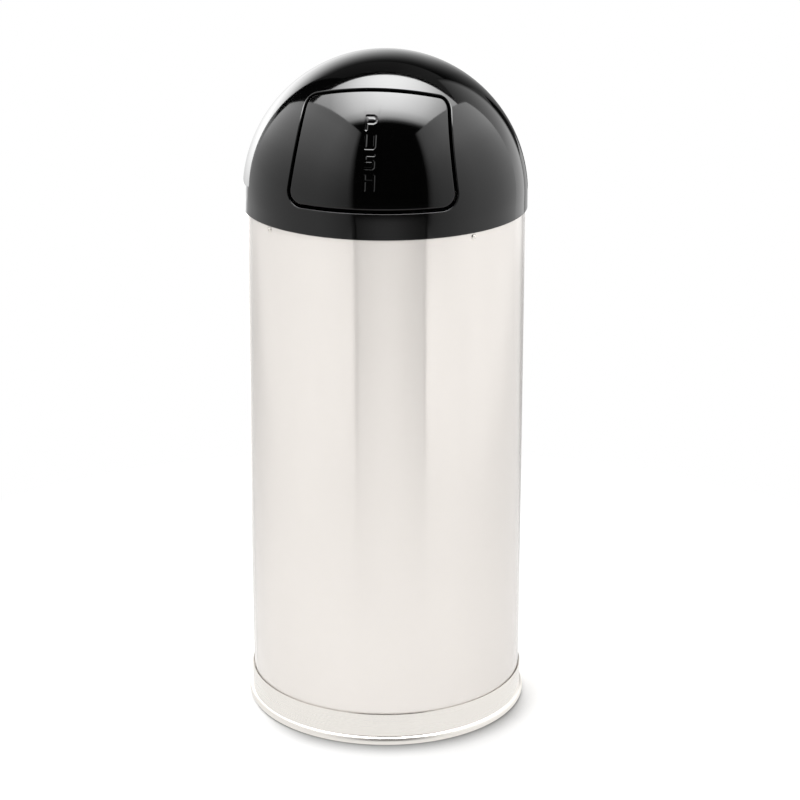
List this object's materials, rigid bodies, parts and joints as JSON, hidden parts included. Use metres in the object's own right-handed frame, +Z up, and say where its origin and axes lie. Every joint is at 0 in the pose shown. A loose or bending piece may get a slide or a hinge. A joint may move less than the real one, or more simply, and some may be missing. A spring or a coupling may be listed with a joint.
{
  "type": "dome top waste receptacle",
  "caption": "Round floor-standing waste bin: brushed steel cylinder body, lift-off black dome with a self-closing push door, lift-out inner can with a bail.",
  "frame": {"origin": "centre of the round footprint, on the floor", "axes": "+Z up along the body's axis; the push door faces -Y; +X is to the right of a person facing the door"},
  "size_m": [0.3879, 0.388, 0.9144],
  "materials": {
    "brushed_stainless": "satin brushed stainless sheet with a fine grain round the body",
    "polished_stainless": "bright polished stainless",
    "black_enamel": "high-gloss black baked enamel",
    "galvanised_steel": "dull hot-dip galvanised sheet",
    "zinc_steel": "bright zinc-plated steel",
    "spring_steel": "drawn spring wire, lightly oiled",
    "bumper_rubber": "matt black rubber"
  },
  "bodies": {
    "receptacle": {"body_shell": "brushed_stainless", "rim_band": "zinc_steel", "rim_rivets": "polished_stainless", "foot_ring": "polished_stainless", "floor_pan": "galvanised_steel"},
    "dome": {"dome_shell": "black_enamel", "dome_collar": "black_enamel", "hinge_bracket_left": "black_enamel", "hinge_bracket_right": "black_enamel", "hinge_rod": "zinc_steel", "rod_clips": "spring_steel", "torsion_spring_left": "spring_steel", "torsion_spring_right": "spring_steel"},
    "door": {"door_panel": "black_enamel", "door_ear_left": "black_enamel", "door_ear_right": "black_enamel", "door_stop_left": "black_enamel", "door_stop_right": "black_enamel", "door_bumper_left": "bumper_rubber", "door_bumper_right": "bumper_rubber"},
    "liner": {"liner_can": "galvanised_steel", "liner_bottom": "galvanised_steel", "bail_lug_left": "zinc_steel", "bail_lug_right": "zinc_steel", "lug_rivets": "zinc_steel"},
    "bail": {"bail_handle": "zinc_steel"}
  },
  "joints": [
    {"name": "dome_lift", "type": "slide", "parent": "receptacle", "child": "dome", "axis": [0, 0, 1], "range_m": [0, 0.3]},
    {"name": "door_swing", "type": "hinge", "parent": "dome", "child": "door", "pos_m": [0, -0.08222, 0.86348], "axis": [1, 0, 0], "range_deg": [0, 60], "stiffness_Nm_per_rad": 0.6, "springref_deg": -51.57, "deforming": ["torsion_spring_left", "torsion_spring_right"]},
    {"name": "liner_lift", "type": "slide", "parent": "receptacle", "child": "liner", "axis": [0, 0, 1], "range_m": [0, 0.02]},
    {"name": "bail_swing", "type": "hinge", "parent": "liner", "child": "bail", "pos_m": [0, 0, 0.66], "axis": [1, 0, 0], "range_deg": [0, 110]}
  ]
}
